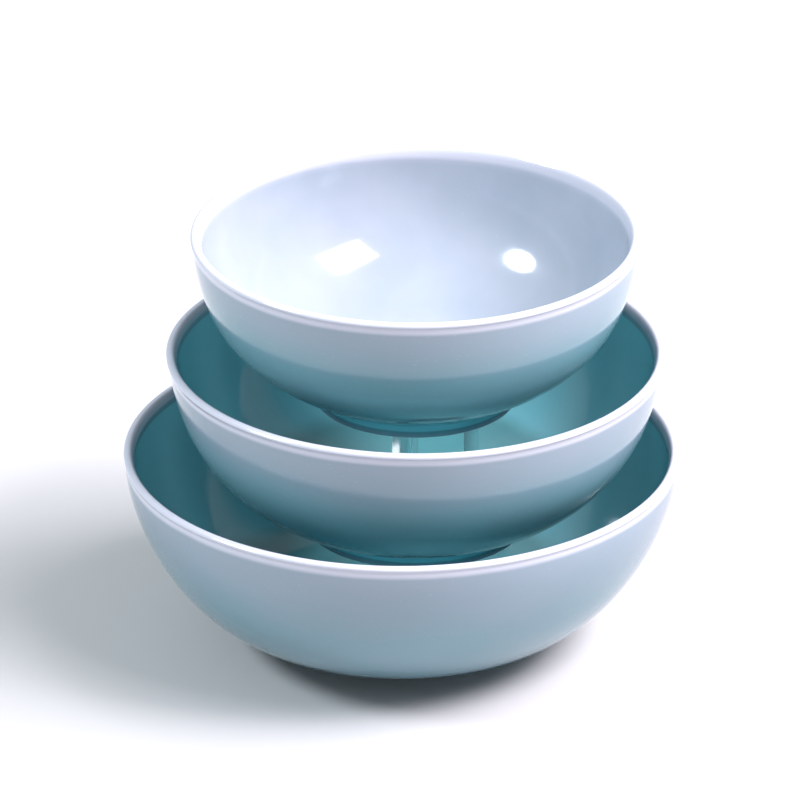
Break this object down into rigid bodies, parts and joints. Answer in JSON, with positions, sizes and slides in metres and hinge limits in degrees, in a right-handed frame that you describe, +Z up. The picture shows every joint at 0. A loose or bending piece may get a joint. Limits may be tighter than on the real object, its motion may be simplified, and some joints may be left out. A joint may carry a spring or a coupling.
{
  "type": "evaporating dish set",
  "caption": "Round glazed dishes with beaded rims and foot rings, stacked for show, each upper dish standing inside the one below on a clear square riser.",
  "frame": {"origin": "centre of the large dish's foot ring, on the table", "axes": "+Z up along the large dish's axis; +X towards the side on which the upper dishes stand off centre; +Y away from the viewer"},
  "size_m": [0.25, 0.25, 0.1947],
  "materials": {
    "glaze": "pale blue gloss glaze",
    "clear_cast": "clear cast block, polished"
  },
  "bodies": {
    "large_dish": {"large_dish": "glaze"},
    "lower_riser": {"lower_riser": "clear_cast"},
    "medium_dish": {"medium_dish": "glaze"},
    "upper_riser": {"upper_riser": "clear_cast"},
    "small_dish": {"small_dish": "glaze"}
  },
  "joints": [
    {"name": "lower_riser_lift", "type": "slide", "parent": "large_dish", "child": "lower_riser", "axis": [0, 0, 1], "range_m": [0, 0.09]},
    {"name": "medium_dish_lift", "type": "slide", "parent": "lower_riser", "child": "medium_dish", "axis": [0, 0, 1], "range_m": [0, 0.06]},
    {"name": "upper_riser_lift", "type": "slide", "parent": "medium_dish", "child": "upper_riser", "axis": [0, 0, 1], "range_m": [0, 0.09]},
    {"name": "small_dish_lift", "type": "slide", "parent": "upper_riser", "child": "small_dish", "axis": [0, 0, 1], "range_m": [0, 0.06]}
  ]
}
